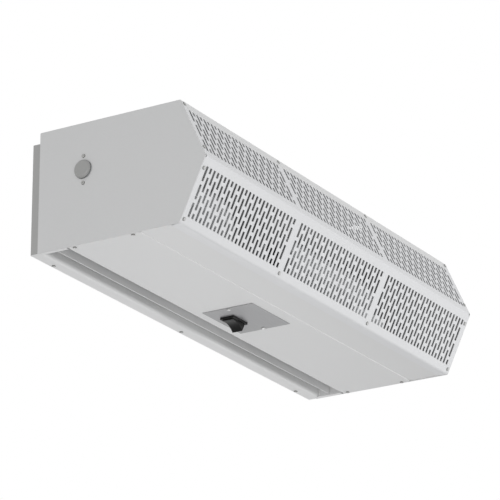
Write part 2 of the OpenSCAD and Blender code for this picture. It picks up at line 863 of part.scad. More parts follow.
// A two-bolt bearing flange inside each end panel, its ball bearing, and the cap outside
bearing_flange_t = 3;
bearing_body_l = 13;
bearing_body_r = 16;
bearing_r = 12;
bearing_w = 9;
ear_w = 16;
ear_reach = 7;
spigot_l = 3;
cap_t = 1.2;
module bearing_flange() {
    seat_r = bearing_r + running_gap;
    color("gray") on_axis(-half_l + sheet_t) difference() {
        union() {
            cylinder(r = cap_r + shank_r, h = bearing_flange_t);
            cube([2 * (cap_screw_r + ear_reach), ear_w, 2 * bearing_flange_t], center = true);
            cylinder(r = bearing_body_r, h = bearing_body_l);
            translate([0, 0, -spigot_l])
                cylinder(r = cap_r - cap_t - side_gap, h = spigot_l + bearing_flange_t);
        }
        translate([0, 0, -bearing_flange_t - overrun]) difference() {
            translate([-cap_screw_r - ear_reach - overrun, -ear_w, 0])
                cube([2 * (cap_screw_r + ear_reach + overrun), 2 * ear_w,
                    bearing_flange_t + overrun]);
            cylinder(r = cap_r - cap_t - side_gap, h = 2 * bearing_flange_t);
        }
        translate([0, 0, -spigot_l - overrun])
            cylinder(r = shaft_r + overrun, h = bearing_body_l + spigot_l + 2 * overrun);
        translate([0, 0, bearing_body_l - bearing_w]) cylinder(r = seat_r, h = bearing_w + overrun);
        for (side = [-1, 1]) translate([side * cap_screw_r, 0, -overrun])
            cylinder(r = shank_r + thread_gap, h = bearing_flange_t + 2 * overrun);
    }
}

module bearing_flanges() {
    in_row() both_ends() bearing_flange();
}

module ball_bearings() {
    color("lightgray") in_row() both_ends()
        on_axis(-half_l + sheet_t + bearing_body_l - bearing_w) difference() {
            cylinder(r = bearing_r, h = bearing_w);
            translate([0, 0, -overrun])
                cylinder(r = shaft_r + running_gap, h = bearing_w + 2 * overrun);
        }
}

module end_cap() {
    depth = cap_h + sheet_t;
    color("gray") on_axis(-half_l - cap_h) rotate_extrude() polygon([
        [0, 0], [cap_r - cap_t, 0], [cap_r, cap_t], [cap_r, depth], [cap_r - cap_t, depth],
        [cap_r - cap_t, cap_t], [0, cap_t]
    ]);
}

module left_end_cap() {
    in_row() end_cap();
}

module right_end_cap() {
    in_row() mirror([1, 0, 0]) end_cap();
}

module end_cap_screws() {
    color("lightgray") in_row() at_cap_screws() screw();
}

// The control plate covers the opening in the access panel and holds the switch
switch_dx = -5;
switch_dy = 22.5;
switch_x = control_x + switch_dx;
switch_y = control_y - switch_dy;
bezel_rim = 1.2;
body_wall = 1.6;
rocker_side_gap = 0.45;
body_h = 24;
body_l = bezel_l - 2 * bezel_rim;
body_w = rocker_w + 2 * (rocker_side_gap + body_wall);
module control_plate() {
    color("darkgray") in_row() difference() {
        translate([control_x - control_l / 2, -control_y - control_w / 2, -control_t])
            cube([control_l, control_w, control_t]);
        translate([switch_x - body_l / 2 - side_gap, -switch_y - body_w / 2 - side_gap,
                -control_t - overrun])
            cube([body_l + 2 * side_gap, body_w + 2 * side_gap, control_t + 2 * overrun]);
        at_control_screws() hole(shank_r + hole_gap, control_t + overrun);
    }
}

module control_plate_screws() {
    color("lightgray") in_row() at_control_screws() screw();
}

// The switch: a rocker on two trunnions in a moulded housing, shown pressed at its -X end
pivot_z = -0.6;
rocker_half = 17.5;
rocker_out = 13.7;
rocker_dish = 4.5;
rocker_flank = 20.3;
rocker_root = 2;
rocker_neck = 9;
rocker_back = 7.5;
trunnion_r = 2;
trunnion_gap = 0.3;
cavity_half = rocker_half * cos(rocker_tilt) + rocker_out * sin(rocker_tilt) + moving_gap;
cavity_top = rocker_neck * sin(rocker_tilt) + rocker_back + moving_gap;

module switch_housing() {
    color("black") in_row() translate([switch_x, -switch_y, 0]) difference() {
        union() {
            translate([-bezel_l / 2, -bezel_w / 2, -control_t - bezel_h])
                cube([bezel_l, bezel_w, bezel_h]);
            translate([-body_l / 2, -body_w / 2, -control_t - bezel_h])
                cube([body_l, body_w, control_t + bezel_h + body_h]);
        }
        translate([-cavity_half, -rocker_w / 2 - rocker_side_gap, -control_t - bezel_h - overrun])
            cube([2 * cavity_half, rocker_w + 2 * rocker_side_gap,
                control_t + bezel_h + overrun + pivot_z + cavity_top]);
        translate([0, 0, pivot_z]) rotate([90, 0, 0])
            cylinder(r = trunnion_r + running_gap, h = bezel_w, center = true);
    }
}

module rocker_section() {
    dish_r = (rocker_half * rocker_half + rocker_dish * rocker_dish) / (2 * rocker_dish);
    difference() {
        polygon([
            [-rocker_half, -rocker_out], [rocker_half, -rocker_out], [rocker_flank, 0],
            [rocker_flank, rocker_root], [rocker_neck, rocker_back], [-rocker_neck, rocker_back],
            [-rocker_flank, rocker_root], [-rocker_flank, 0]
        ]);
        translate([0, -rocker_out + rocker_dish - dish_r]) circle(dish_r);
    }
}

module switch_rocker() {
    color("black") in_row() translate([switch_x, -switch_y, pivot_z])
        rotate([90, rocker_tilt, 0]) {
            linear_extrude(rocker_w, center = true) rocker_section();
            cylinder(r = trunnion_r, h = body_w - 2 * trunnion_gap, center = true);
        }
}

terminal_w = 6.3;
terminal_t = 0.8;
terminal_h = 9;
terminal_pitch = 12;
module switch_terminals() {
    color("goldenrod") in_row() for (i = [-1:1])
        translate([switch_x + i * terminal_pitch - terminal_t / 2, -switch_y - terminal_w / 2,
                body_h])
            cube([terminal_t, terminal_w, terminal_h]);
}

// The motor's capacitor, strapped to the front pan
capacitor_r = 17;
capacitor_l = 70;
capacitor_x = -185;
strap_t = 1;
strap_w = 12;
strap_foot = 5;
module motor_capacitor() {
    color("silver") in_row()
        translate([capacitor_x, -entry_y, 2 * sheet_t + capacitor_r + 2 * running_gap])
            rotate([0, 90, 0]) cylinder(r = capacitor_r, h = capacitor_l, center = true);
}

module capacitor_strap() {
    inner_r = capacitor_r + running_gap;
    color("gray") in_row() translate([capacitor_x, -entry_y, 2 * sheet_t + running_gap + inner_r])
        along_x(strap_w) difference() {
            union() {
                circle(inner_r + strap_t);
                translate([-inner_r - strap_t, -inner_r]) square([2 * (inner_r + strap_t), inner_r]);
                translate([-inner_r - strap_foot, -inner_r])
                    square([2 * (inner_r + strap_foot), strap_t]);
            }
            circle(inner_r);
            translate([-inner_r, -inner_r - overrun]) square([2 * inner_r, inner_r + overrun]);
            translate([-inner_r - strap_t, -inner_r - 2 * overrun])
                square([2 * (inner_r + strap_t), 2 * overrun]);
        }
}

// The wiring box on the front pan, under the entry in the top cover
box_l = 110;
box_d = 44;
box_h = 48;
box_t = 1;
box_lip = 6;
module wiring_box() {
    color("silver") in_row()
        translate([entry_x - box_l / 2, -entry_y - box_d / 2, 2 * sheet_t + running_gap]) difference() {
            cube([box_l, box_d, box_h]);
            translate([box_t, box_t, box_t])
                cube([box_l - 2 * box_t, box_d - 2 * box_t, box_h]);
        }
}

module wiring_box_cover() {
    color("silver") in_row()
        translate([entry_x - box_l / 2 - box_t - running_gap,
                -entry_y - box_d / 2 - box_t - running_gap, 2 * sheet_t + box_h - box_lip + running_gap])
            difference() {
                cube([box_l + 2 * (box_t + running_gap), box_d + 2 * (box_t + running_gap),
                    box_lip + box_t]);
                translate([box_t, box_t, -overrun])
                    cube([box_l + 2 * running_gap, box_d + 2 * running_gap, box_lip + overrun]);
                translate([box_l / 2 + box_t, box_d / 2 + box_t, 0])
                    cylinder(r = entry_r, h = box_lip + box_t + overrun);
            }
}

block_l = 60;
block_w = 18;
block_h = 14;
pole_n = 5;
pole_r = 3.2;
pole_h = 5;
module terminal_block() {
    color("ivory") in_row()
        translate([entry_x - block_l / 2, -entry_y - block_w / 2,
                2 * sheet_t + box_t + running_gap]) difference() {
            cube([block_l, block_w, block_h]);
            for (i = [0:pole_n - 1])
                translate([(2 * i + 1) * block_l / (2 * pole_n), block_w / 2, block_h - pole_h])
                    cylinder(r = pole_r, h = pole_h + overrun);
        }
}

// Groups of screws
module grille_screws() {
    color("whitesmoke") in_row() {
        at_grille_end_screws() screw();
        at_grille_middle_screws() screw();
    }
}

module underside_screws() {
    color("whitesmoke") in_row() at_panel_screws() screw();
}

module rear_lip_screws() {
    color("whitesmoke") in_row() at_lip_screws() screw();
}

module top_screws() {
    color("whitesmoke") in_row() at_top_screws() screw();
}

module back_screws() {
    color("silver") in_row() at_back_screws() screw();
}

mounting_plate();
left_end_panel();
right_end_panel();
top_cover();
back_panel();
rear_lip();
intake_grille();
bottom_panel();
front_pan();
nozzle_front_wall();
left_nozzle_end();
right_nozzle_end();
air_vane();
vane_pivots();
vane_washers();
fan_deck();
left_scroll_wrap();
right_scroll_wrap();
left_scroll_sides();
right_scroll_sides();
inlet_rings();
left_blower_wheel();
right_blower_wheel();
fan_shaft();
motor_shell();
motor_end_bells();
motor_stator();
motor_rotor();
motor_mount_rings();
motor_cradle();
bearing_flanges();
ball_bearings();
left_end_cap();
right_end_cap();
end_cap_screws();
control_plate();
control_plate_screws();
switch_housing();
switch_rocker();
switch_terminals();
motor_capacitor();
capacitor_strap();
wiring_box();
wiring_box_cover();
terminal_block();
grille_screws();
underside_screws();
rear_lip_screws();
top_screws();
back_screws();
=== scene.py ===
import bpy
import bmesh
import json
import math
from mathutils import Matrix, Vector


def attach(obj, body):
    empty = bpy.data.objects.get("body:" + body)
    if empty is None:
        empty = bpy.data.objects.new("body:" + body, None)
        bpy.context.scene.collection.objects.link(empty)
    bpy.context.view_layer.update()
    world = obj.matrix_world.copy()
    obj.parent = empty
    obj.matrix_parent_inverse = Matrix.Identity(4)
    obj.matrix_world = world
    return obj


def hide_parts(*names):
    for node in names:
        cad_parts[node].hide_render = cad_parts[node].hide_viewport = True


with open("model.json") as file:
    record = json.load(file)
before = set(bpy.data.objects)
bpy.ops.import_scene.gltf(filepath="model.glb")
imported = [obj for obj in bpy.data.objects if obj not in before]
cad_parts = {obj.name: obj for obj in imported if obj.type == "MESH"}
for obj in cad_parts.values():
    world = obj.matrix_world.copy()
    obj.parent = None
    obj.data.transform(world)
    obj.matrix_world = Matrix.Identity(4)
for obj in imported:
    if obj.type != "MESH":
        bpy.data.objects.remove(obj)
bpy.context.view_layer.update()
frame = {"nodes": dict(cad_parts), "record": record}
bpy.ops.object.select_all(action="DESELECT")

# The camera stands low at the cabinet's left end and looks up past it, as the photograph does.
# Its place, lens and roll come from the corners of the cabinet in the picture.
CAMERA_PLACE = (-4.5898, -2.9625, -1.9820)
back = Vector((-0.79865, -0.48971, -0.34980)).normalized()
side = (-back).cross(Vector((0, 0, 1))).normalized()
up = side.cross(-back)
roll = math.radians(0.092)
side, up = (side * math.cos(roll) + up * math.sin(roll),
            up * math.cos(roll) - side * math.sin(roll))
lens = bpy.data.cameras.new("camera")
lens.sensor_width = 36
lens.lens = 234.8
lens.clip_start, lens.clip_end = 0.1, 60
camera = bpy.data.objects.new("camera", lens)
bpy.context.scene.collection.objects.link(camera)
way_held = Matrix((side, up, back)).transposed().to_4x4()
camera.matrix_world = Matrix.Translation(CAMERA_PLACE) @ way_held
bpy.context.scene.camera = camera
bpy.context.scene.view_settings.view_transform = "Standard"

# The room: an even pale world that the camera sees as white, a pale floor at door height below the
# cabinet, painted on its upper side only, and four lamps. The one low behind on the right gives the
# shadow beside the switch and lights the nozzle.
FLOOR_Z = -2.35


def maths(nodes, operation, kind="ShaderNodeMath"):
    node = nodes.new(kind)
    node.operation = operation
    return node


world = bpy.data.worlds.new("room")
bpy.context.scene.world = world
world.use_nodes = True
nodes, links = world.node_tree.nodes, world.node_tree.links
nodes.clear()
seen = nodes.new("ShaderNodeLightPath")
camera_or_gloss = maths(nodes, "MAXIMUM")
any_seen = maths(nodes, "MAXIMUM")
room_light = nodes.new("ShaderNodeBackground")
room_light.inputs["Color"].default_value = (0.97, 0.98, 1.0, 1)
room_light.inputs["Strength"].default_value = 0.39
room_white = nodes.new("ShaderNodeBackground")
room_white.inputs["Color"].default_value = (1, 1, 1, 1)
room_white.inputs["Strength"].default_value = 1.0
either = nodes.new("ShaderNodeMixShader")
out = nodes.new("ShaderNodeOutputWorld")
links.new(seen.outputs["Is Camera Ray"], camera_or_gloss.inputs[0])
links.new(seen.outputs["Is Glossy Ray"], camera_or_gloss.inputs[1])
links.new(camera_or_gloss.outputs[0], any_seen.inputs[0])
links.new(seen.outputs["Is Transmission Ray"], any_seen.inputs[1])
links.new(any_seen.outputs[0], either.inputs["Fac"])
links.new(room_light.outputs[0], either.inputs[1])
links.new(room_white.outputs[0], either.inputs[2])
links.new(either.outputs[0], out.inputs["Surface"])


def softbox(name, place, target, size, power):
    lamp = bpy.data.lights.new(name, "AREA")
    lamp.shape = "RECTANGLE"
    lamp.size, lamp.size_y = size
    lamp.energy = power
    body = bpy.data.objects.new(name, lamp)
    bpy.context.scene.collection.objects.link(body)
    body.location = place
    aim = Vector(target) - Vector(place)
    body.rotation_mode = "QUATERNION"
    body.rotation_quaternion = aim.to_track_quat("-Z", "Y")


softbox("front_lamp", (0.9, -3.6, -0.20), target=(0, -0.2, 0), size=(3.0, 0.14), power=49)
softbox("left_lamp", (-4.2, -0.7, -0.95), target=(-0.3, -0.1, 0), size=(2.0, 2.0), power=44)
softbox("low_lamp", (1.3, -2.6, -1.7), target=(0, -0.1, 0), size=(3.0, 1.0), power=12)
softbox("rear_lamp", (2.0, 1.3, -1.9), target=(0, -0.1, 0), size=(1.1, 1.0), power=13.4)

bpy.ops.mesh.primitive_plane_add(size=14, location=(0, 0, FLOOR_Z))
floor = bpy.context.active_object
floor.name = "floor"
floor_paint = bpy.data.materials.new("floor_paint")
floor_paint.use_nodes = True
nodes, links = floor_paint.node_tree.nodes, floor_paint.node_tree.links
paint = nodes["Principled BSDF"]
paint.inputs["Base Color"].default_value = (0.8, 0.8, 0.8, 1)
paint.inputs["Roughness"].default_value = 0.9
way_seen = nodes.new("ShaderNodeNewGeometry")
clear = nodes.new("ShaderNodeBsdfTransparent")
one_sided = nodes.new("ShaderNodeMixShader")
links.new(way_seen.outputs["Backfacing"], one_sided.inputs["Fac"])
links.new(paint.outputs[0], one_sided.inputs[1])
links.new(clear.outputs[0], one_sided.inputs[2])
links.new(one_sided.outputs[0], nodes["Material Output"].inputs["Surface"])
floor.data.materials.append(floor_paint)

# The end panels: flat steel sheets with flanges turned in behind the wraps, powder coated
# satin white. The flanges are cut back at the front lower corner and notched at the seam of the
# underside. Their cut edges carry a small round of paint.
MM = 0.001
HALF, HEIGHT, BACK_Y, UNDERSIDE_Z = 457.2, 215.9, -15.2, -99
FRONT, NOSE, SEAM = 279.4, 329, 202
RELIEF = ((443, -280.6, 0.6), (455.6, -260.5, 5.5))
NOTCH_X, NOTCH_R = 453.4, 2.3


def row(x, y, z):
    """A place measured from mid-length, the cabinet's back and its underside, in millimetres."""
    return Vector((x, y + BACK_Y, z + UNDERSIDE_Z)) * MM


def only(obj):
    """Makes a piece the one that is selected and active."""
    bpy.ops.object.select_all(action="DESELECT")
    obj.select_set(True)
    bpy.context.view_layer.objects.active = obj


def begin_edit(obj, mode="FACE"):
    only(obj)
    bpy.ops.object.mode_set(mode="EDIT")
    bpy.ops.mesh.select_mode(type=mode)
    bpy.ops.mesh.select_all(action="DESELECT")


def end_edit():
    bpy.ops.object.mode_set(mode="OBJECT")
    bpy.ops.object.select_all(action="DESELECT")


def apply_modifiers(obj):
    only(obj)
    for modifier in list(obj.modifiers):
        bpy.ops.object.modifier_apply(modifier=modifier.name)
    obj.select_set(False)


def set_in_place(obj):
    only(obj)
    bpy.ops.object.transform_apply(location=True, rotation=True, scale=True)
    obj.select_set(False)


def smooth(obj, angle):
    only(obj)
    bpy.ops.object.shade_smooth_by_angle(angle=math.radians(angle))
    obj.select_set(False)


def round_edges(obj, width, segments=2, angle=30):
    """Rounds the edges sharper than the angle, by a width in millimetres, and keeps faces flat."""
    bevel_edges = obj.modifiers.new("edge_round", "BEVEL")
    bevel_edges.width = width * MM
    bevel_edges.segments = segments
    bevel_edges.limit_method = "ANGLE"
    bevel_edges.angle_limit = math.radians(angle)
    bevel_edges.use_clamp_overlap = False
    bevel_edges.harden_normals = False
    apply_modifiers(obj)
    smooth(obj, 50)
    flat = obj.modifiers.new("flat_faces", "WEIGHTED_NORMAL")
    flat.weight = 80
    flat.keep_sharp = True
    apply_modifiers(obj)


def cut_with(obj, bit):
    cut = obj.modifiers.new("cut", "BOOLEAN")
    cut.object = bit
    cut.solver = "EXACT"
    apply_modifiers(obj)
    bpy.data.objects.remove(bit, do_unlink=True)


def drill(obj, centre, radius, axis="Z"):
    """Cuts a round hole with a drill of the given radius, in millimetres."""
    turn = {"Y": (math.pi / 2, 0, 0), "Z": (0, 0, 0)}[axis]
    bpy.ops.mesh.primitive_cylinder_add(vertices=48, radius=radius * MM, depth=12 * MM,
                                        location=centre, rotation=turn)
    cut_with(obj, bpy.context.active_object)


def cut_box(obj, near, far):
    """Cuts a box out, given by two opposite corners."""
    bpy.ops.mesh.primitive_cube_add(size=1, location=(near + far) / 2)
    bit = bpy.context.active_object
    bit.scale = [abs(length) for length in far - near]
    set_in_place(bit)
    cut_with(obj, bit)


def merged_copy(node):
    """A copy of a cut solid, its loose triangles merged into whole faces."""
    obj = bpy.data.objects.new(node + "_piece", frame["nodes"][node].data.copy())
    bpy.context.scene.collection.objects.link(obj)
    begin_edit(obj)
    bpy.ops.mesh.select_all(action="SELECT")
    bpy.ops.mesh.remove_doubles(threshold=2e-6)
    bpy.ops.mesh.dissolve_limited(angle_limit=math.radians(0.6))
    end_edit()
    return obj


def group_socket(group, name, kind, way="INPUT", value=None):
    socket = group.interface.new_socket(name=name, in_out=way, socket_type=kind)
    if value is not None:
        socket.default_value = value


def sprayed_skin_group():
    """Colour drift, roughness drift and orange peel of a sprayed or moulded surface."""
    group = bpy.data.node_groups.new("sprayed_skin", "ShaderNodeTree")
    group_socket(group, "Color", "NodeSocketColor")
    group_socket(group, "Drift", "NodeSocketFloat", value=0.03)
    group_socket(group, "Roughness", "NodeSocketFloat", value=0.4)
    group_socket(group, "Roughness Drift", "NodeSocketFloat", value=0.08)
    group_socket(group, "Peel Scale", "NodeSocketFloat", value=700)
    group_socket(group, "Peel Height", "NodeSocketFloat", value=0.1)
    group_socket(group, "Color", "NodeSocketColor", "OUTPUT")
    group_socket(group, "Roughness", "NodeSocketFloat", "OUTPUT")
    group_socket(group, "Normal", "NodeSocketVector", "OUTPUT")
    nodes, links = group.nodes, group.links
    inside, outside = nodes.new("NodeGroupInput"), nodes.new("NodeGroupOutput")
    place = nodes.new("ShaderNodeTexCoord")
    drift = nodes.new("ShaderNodeTexNoise")
    drift.inputs["Scale"].default_value = 9
    drift.inputs["Detail"].default_value = 5
    specks = nodes.new("ShaderNodeTexNoise")
    specks.inputs["Scale"].default_value = 260
    specks.inputs["Detail"].default_value = 2
    peel = nodes.new("ShaderNodeTexNoise")
    peel.inputs["Detail"].default_value = 2
    for noise in (drift, specks, peel):
        links.new(place.outputs["Object"], noise.inputs["Vector"])
    links.new(inside.outputs["Peel Scale"], peel.inputs["Scale"])
    both = maths(nodes, "ADD")
    links.new(drift.outputs["Fac"], both.inputs[0])
    links.new(specks.outputs["Fac"], both.inputs[1])
    centred = maths(nodes, "SUBTRACT")
    centred.inputs[1].default_value = 1.0
    links.new(both.outputs[0], centred.inputs[0])
    amount = maths(nodes, "MULTIPLY_ADD")
    amount.inputs[2].default_value = 1.0
    links.new(centred.outputs[0], amount.inputs[0])
    links.new(inside.outputs["Drift"], amount.inputs[1])
    tint = maths(nodes, "SCALE", "ShaderNodeVectorMath")
    links.new(inside.outputs["Color"], tint.inputs[0])
    links.new(amount.outputs[0], tint.inputs["Scale"])
    links.new(tint.outputs["Vector"], outside.inputs["Color"])
    rough = maths(nodes, "MULTIPLY_ADD")
    links.new(centred.outputs[0], rough.inputs[0])
    links.new(inside.outputs["Roughness Drift"], rough.inputs[1])
    links.new(inside.outputs["Roughness"], rough.inputs[2])
    links.new(rough.outputs[0], outside.inputs["Roughness"])
    bump = nodes.new("ShaderNodeBump")
    bump.inputs["Distance"].default_value = 0.0001
    links.new(inside.outputs["Peel Height"], bump.inputs["Strength"])
    links.new(peel.outputs["Fac"], bump.inputs["Height"])
    links.new(bump.outputs["Normal"], outside.inputs["Normal"])
    return group


sprayed_skin = sprayed_skin_group()


def sprayed(name, color, drift=0.03, roughness=0.4, spread=0.08, peel=(700, 0.12), specular=0.5,
            metallic=0.0):
    material = bpy.data.materials.new(name)
    material.use_nodes = True
    tree = material.node_tree
    shader = tree.nodes["Principled BSDF"]
    skin = tree.nodes.new("ShaderNodeGroup")
    skin.node_tree = sprayed_skin
    skin.inputs["Color"].default_value = (*color, 1)
    skin.inputs["Drift"].default_value = drift
    skin.inputs["Roughness"].default_value = roughness
    skin.inputs["Roughness Drift"].default_value = spread
    skin.inputs["Peel Scale"].default_value = peel[0]
    skin.inputs["Peel Height"].default_value = peel[1]
    shader.inputs["Specular IOR Level"].default_value = specular
    shader.inputs["Metallic"].default_value = metallic
    tree.links.new(skin.outputs["Color"], shader.inputs["Base Color"])
    tree.links.new(skin.outputs["Roughness"], shader.inputs["Roughness"])
    tree.links.new(skin.outputs["Normal"], shader.inputs["Normal"])
    return material


def dress(obj, material, body, node):
    """Gives a piece its coat and its body, and hides the node of the cut solids in its place."""
    obj.data.materials.clear()
    obj.data.materials.append(material)
    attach(obj, body)
    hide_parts(node)


cabinet_coat = sprayed("cabinet_coat", (0.76, 0.76, 0.755))
for node, way in (("left_end_panel", -1), ("right_end_panel", 1)):
    end_panel = merged_copy(node)
    near, far = (row(way * x, y, z) for x, y, z in RELIEF)
    cut_box(end_panel, near, far)
    drill(end_panel, row(way * NOTCH_X, -SEAM, 1), NOTCH_R)
    round_edges(end_panel, 0.35)
    dress(end_panel, cabinet_coat, "cabinet", node)

# The mounting plate: a shallow steel pan that is screwed to the wall and carries the cabinet, in a
# greyer coat than the cabinet's. Its edges carry a small round of paint.


def rounded_copy(node, width, segments=2):
    """A copy of a cut solid with its edges rounded, as a coated or moulded piece has them."""
    obj = merged_copy(node)
    round_edges(obj, width, segments)
    return obj


plate_coat = sprayed("plate_coat", (0.46, 0.46, 0.45), drift=0.05, roughness=0.45)
dress(rounded_copy("mounting_plate", 0.5), plate_coat, "cabinet", "mounting_plate")

# The top cover: one sheet over the whole top, folded down the upper slope behind the grille,
# with a round entry for the supply above the wiring box.
LEAN = math.atan2(NOSE - FRONT, HEIGHT / 2)
SLOPE = math.hypot(NOSE - FRONT, HEIGHT / 2)
SHEET, GRILLE_SHEET = 1.2, 1.0
WRAP, TONGUE, TONGUE_DROP, COVER_BEND = 455.8, 445.0, 16, 1.2
ENTRY_X, ENTRY_Y, ENTRY_R = 205, -231.7, 11.1


def pick(obj, kind, test):
    """Selects the edges or faces that pass a test of their middle m, and of the way d that an edge
    runs or the normal n of a face."""
    mesh = bmesh.from_edit_mesh(obj.data)
    for part in getattr(mesh, kind):
        if kind == "edges":
            start, end = part.verts[0].co, part.verts[1].co
            part.select_set(bool(test((start + end) / 2, end - start)))
        else:
            part.select_set(bool(test(part.calc_center_median(), part.normal)))
    mesh.select_flush_mode()
    bmesh.update_edit_mesh(obj.data)


def pick_fold(obj, place):
    """Selects the edges that run along X through a place."""
    pick(obj, "edges", lambda m, d: (m - place).yz.length < 1e-5 and abs(d.x) > abs(d.y))


def extrude(x, y, z):
    """Extrudes what is selected, in millimetres."""
    bpy.ops.mesh.extrude_region_move(TRANSFORM_OT_translate={"value": (x * MM, y * MM, z * MM)})


def bevel(reach, segments):
    bpy.ops.mesh.bevel(offset=reach * MM, segments=segments, affect="EDGES")


def folded_strip(name, half, line, bends):
    """An open sheet folded along X: a plane for the first leg, extruded leg by leg, with its folds
    rounded. line holds Y and Z of the outer face, and bends the reach of each fold."""
    (y0, z0), (y1, z1) = line[:2]
    bpy.ops.mesh.primitive_plane_add(size=1, location=row(0, (y0 + y1) / 2, (z0 + z1) / 2))
    obj = bpy.context.active_object
    obj.name = name
    obj.rotation_euler = (math.atan2(z1 - z0, y1 - y0), 0, 0)
    obj.scale = (2 * half * MM, math.hypot(y1 - y0, z1 - z0) * MM, 1)
    set_in_place(obj)
    begin_edit(obj, "EDGE")
    for (ya, za), (yb, zb) in zip(line[1:], line[2:]):
        pick_fold(obj, row(0, ya, za))
        extrude(0, yb - ya, zb - za)
    for (y, z), bend in zip(line[1:-1], bends):
        pick_fold(obj, row(0, y, z))
        bevel(bend, segments=5 if bend >= 3 else 3)
    end_edit()
    return obj


def widen(obj, half, wider, test):
    """Extrudes the side edges that pass the test, which makes the sheet wider there."""
    for way in (-1, 1):
        begin_edit(obj, "EDGE")
        pick(obj, "edges", lambda m, d: abs(m.x - way * half * MM) < 1e-5 and test(m))
        extrude(way * (wider - half), 0, 0)
        end_edit()


def thicken(obj, thick):
    """Gives an open sheet its thickness, behind its outer face."""
    sheet = obj.modifiers.new("sheet", "SOLIDIFY")
    sheet.thickness = thick * MM
    sheet.offset = -1
    sheet.use_even_offset = True
    apply_modifiers(obj)


top_front = (-FRONT + GRILLE_SHEET / math.cos(LEAN), HEIGHT)
tongue_end = (-FRONT - TONGUE_DROP * math.sin(LEAN) + GRILLE_SHEET * math.cos(LEAN),
              HEIGHT - TONGUE_DROP * math.cos(LEAN) - GRILLE_SHEET * math.sin(LEAN))
top_cover = folded_strip("top_cover_sheet", TONGUE, [(0, HEIGHT), top_front, tongue_end],
                         [COVER_BEND])
widen(top_cover, TONGUE, WRAP, lambda m: m.z > row(0, 0, HEIGHT - 0.1).z)
thicken(top_cover, SHEET)
drill(top_cover, row(ENTRY_X, ENTRY_Y, HEIGHT - SHEET / 2), ENTRY_R)
round_edges(top_cover, 0.25)
dress(top_cover, cabinet_coat, "cabinet", "top_cover")

# The intake grille: one steel sheet folded at the nose and returned under the cabinet, punched
# in three fields of staggered slots on each slope and coated whiter than the cabinet.
SLOT_W, SLOT_L, BAR, PITCH, COLUMNS = 5.8, 25.4, 6.35, 11.1, 26
FIELDS, RIB, END_MARGIN = 3, 23.6, 16.9
RETURN, RETURN_GAP = 18, 3.6
NOSE_BEND, FOOT_BEND, CORNER_NOTCH = 2.2, 3.2, 3
SHORT_SLOT = (SLOT_L - BAR) / 2
GAP = PITCH - SLOT_W
PERIOD = SLOT_L + BAR
FIRST_SLOT = (SLOPE - (3 * PERIOD - BAR)) / 2
SECTION = (2 * HALF - 2 * END_MARGIN - 2 * RIB) / FIELDS + RIB


def slot_at(x, v):
    """True where a place lies in a slot: x counts from half a gap before the field's first
    column, and v runs up the slope."""
    column = int(x // PITCH)
    if column >= COLUMNS or not GAP / 2 < x % PITCH < GAP / 2 + SLOT_W:
        return False
    if not FIRST_SLOT < v < SLOPE - FIRST_SLOT:
        return False
    stagger = SHORT_SLOT + BAR if column % 2 else 0
    return (v - FIRST_SLOT - stagger) % PERIOD < SLOT_L


def repeat(obj, count, step):
    """Repeats a sheet along X, its touching edges merged."""
    array = obj.modifiers.new("repeat", "ARRAY")
    array.count = count
    array.use_relative_offset = False
    array.use_constant_offset = True
    array.constant_offset_displace = (step * MM, 0, 0)
    array.use_merge_vertices = True
    array.merge_threshold = 1e-5
    apply_modifiers(obj)


def face_out(obj, axis):
    """Turns the faces of an open sheet all one way, to look down the axis."""
    begin_edit(obj)
    bpy.ops.mesh.select_all(action="SELECT")
    bpy.ops.mesh.normals_make_consistent(inside=False)
    end_edit()
    if sum(getattr(face.normal, axis) * face.area for face in obj.data.polygons) > 0:
        begin_edit(obj)
        bpy.ops.mesh.select_all(action="SELECT")
        bpy.ops.mesh.flip_normals()
        end_edit()


bpy.ops.mesh.primitive_plane_add(size=1, location=(0.5, 0.5, 0))
grille = bpy.context.active_object
grille.name = "intake_grille_sheet"
set_in_place(grille)
grille.scale = (2 * PITCH * MM, SLOPE * MM, 1)
set_in_place(grille)
begin_edit(grille)
cuts = [(x + GAP / 2, 0) for x in (0, SLOT_W, PITCH, PITCH + SLOT_W)]
cuts += [(0, FIRST_SLOT + n * PERIOD + step) for n in range(3)
         for step in (0, SHORT_SLOT, SHORT_SLOT + BAR, SLOT_L)]
for x, v in cuts:
    bpy.ops.mesh.select_all(action="SELECT")
    bpy.ops.mesh.bisect(plane_co=(x * MM, v * MM, 0), plane_no=(1, 0, 0) if x else (0, 1, 0))
end_edit()
repeat(grille, COLUMNS // 2, 2 * PITCH)
begin_edit(grille)
pick(grille, "faces", lambda m, n: slot_at(m.x / MM, m.y / MM))
bpy.ops.mesh.delete(type="FACE")
bpy.ops.mesh.select_mode(type="EDGE")
field_end = COLUMNS * PITCH
pick(grille, "edges", lambda m, d: abs(m.x - field_end * MM) < 1e-6)
extrude(SECTION - field_end, 0, 0)
end_edit()
repeat(grille, FIELDS, SECTION)
first_edge = -HALF + END_MARGIN - PITCH / 2
begin_edit(grille, "EDGE")
pick(grille, "edges", lambda m, d: m.x < 1e-6)
extrude(-WRAP - first_edge, 0, 0)
bpy.ops.mesh.select_all(action="SELECT")
bpy.ops.mesh.bisect(plane_co=((WRAP - first_edge) * MM, 0, 0), plane_no=(1, 0, 0),
                    clear_outer=True)
end_edit()
foot, nose = row(0, -FRONT, 0), row(0, -NOSE, HEIGHT / 2)
grille.rotation_euler = (math.pi / 2 + LEAN, 0, 0)
grille.location = row(first_edge, -FRONT, 0) - Vector((0, 0, nose.z))
set_in_place(grille)
upper_slope = grille.modifiers.new("upper_slope", "MIRROR")
upper_slope.use_axis = (False, False, True)
upper_slope.use_mirror_merge = True
upper_slope.merge_threshold = 1e-5
apply_modifiers(grille)
grille.location = (0, 0, nose.z)
set_in_place(grille)
begin_edit(grille, "EDGE")
pick_fold(grille, foot)
extrude(0, RETURN, 0)
